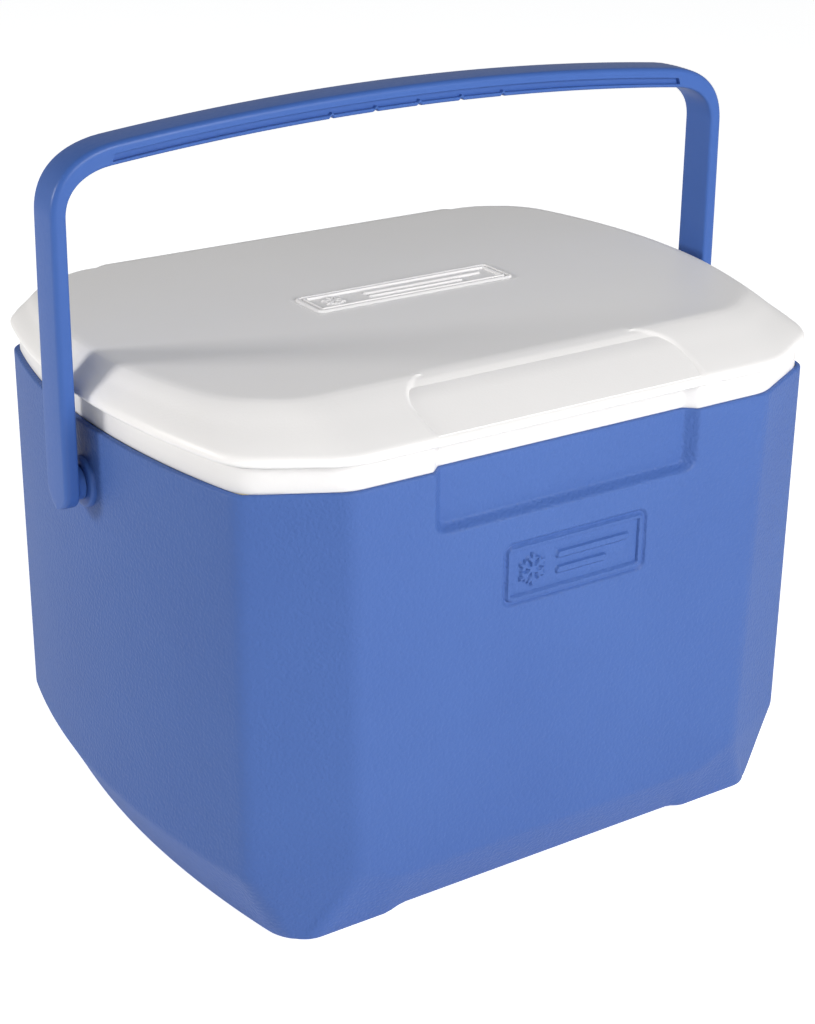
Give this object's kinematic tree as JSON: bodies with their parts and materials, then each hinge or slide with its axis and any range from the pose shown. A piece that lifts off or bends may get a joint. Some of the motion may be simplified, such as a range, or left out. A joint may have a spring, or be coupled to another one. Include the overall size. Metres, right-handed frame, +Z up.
{
  "type": "hard cooler",
  "caption": "Hard-sided picnic cooler with a blue foam-filled body, a white liner and hinged lid, and a swing bail handle with a grooved grip bar.",
  "frame": {"origin": "centre of the base, on the ground plane", "axes": "+X along the length to the right, -Y towards the front with the finger recess, +Z up"},
  "size_m": [0.4192, 0.309, 0.3973],
  "materials": {
    "blue_shell": "moulded polyethylene with a fine pebble grain",
    "blue_handle": "smooth satin moulded plastic",
    "white_plastic": "satin moulded plastic",
    "foam": "rigid closed-cell foam, hidden inside"
  },
  "bodies": {
    "body": {"outer_shell": "blue_shell", "foam_core": "foam", "inner_liner": "white_plastic", "fill_plug_left": "blue_shell", "fill_plug_right": "blue_shell", "bushing_left": "blue_handle", "bushing_right": "blue_handle", "hinge_pin_left": "white_plastic", "hinge_pin_right": "white_plastic"},
    "handle": {"handle": "blue_handle"},
    "lid": {"lid_cover": "white_plastic", "lid_foam": "foam", "lid_pan": "white_plastic"}
  },
  "joints": [
    {"name": "handle_swing", "type": "hinge", "parent": "body", "child": "handle", "pos_m": [0, 0, 0.216], "axis": [1, 0, 0], "range_deg": [-108, 108]},
    {"name": "lid_open", "type": "hinge", "parent": "body", "child": "lid", "pos_m": [0, 0.1465, 0.255], "axis": [-1, 0, 0], "range_deg": [0, 28]}
  ]
}
